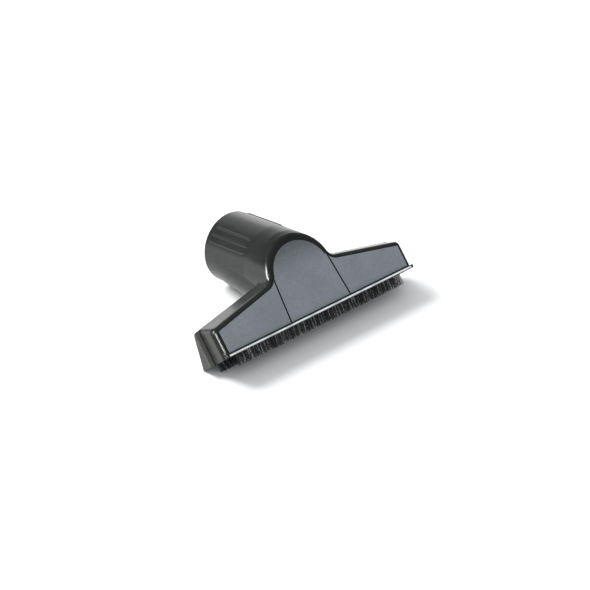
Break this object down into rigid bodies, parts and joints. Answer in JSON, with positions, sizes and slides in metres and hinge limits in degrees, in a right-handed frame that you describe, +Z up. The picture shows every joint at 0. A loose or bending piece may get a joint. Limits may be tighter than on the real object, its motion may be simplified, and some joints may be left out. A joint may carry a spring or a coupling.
{
  "type": "vacuum upholstery nozzle",
  "caption": "Black moulded vacuum upholstery nozzle: wide shallow head with arched front face, round hose socket at the back and bristle strips along the suction slot.",
  "frame": {"origin": "middle of the footprint on the surface it lies on", "axes": "+X across the head, +Y from the front lip back to the socket's mouth, +Z up, with the nozzle lying on its back"},
  "size_m": [0.1364, 0.083, 0.0487],
  "materials": {
    "body_plastic": "satin",
    "strip_plastic": "matt",
    "bristle": "satin filament"
  },
  "bodies": {
    "root": {"nozzle_body": "body_plastic", "front_brush_strip": "strip_plastic", "rear_brush_strip": "strip_plastic", "front_bristle_tufts": "bristle", "rear_bristle_tufts": "bristle"}
  },
  "joints": []
}
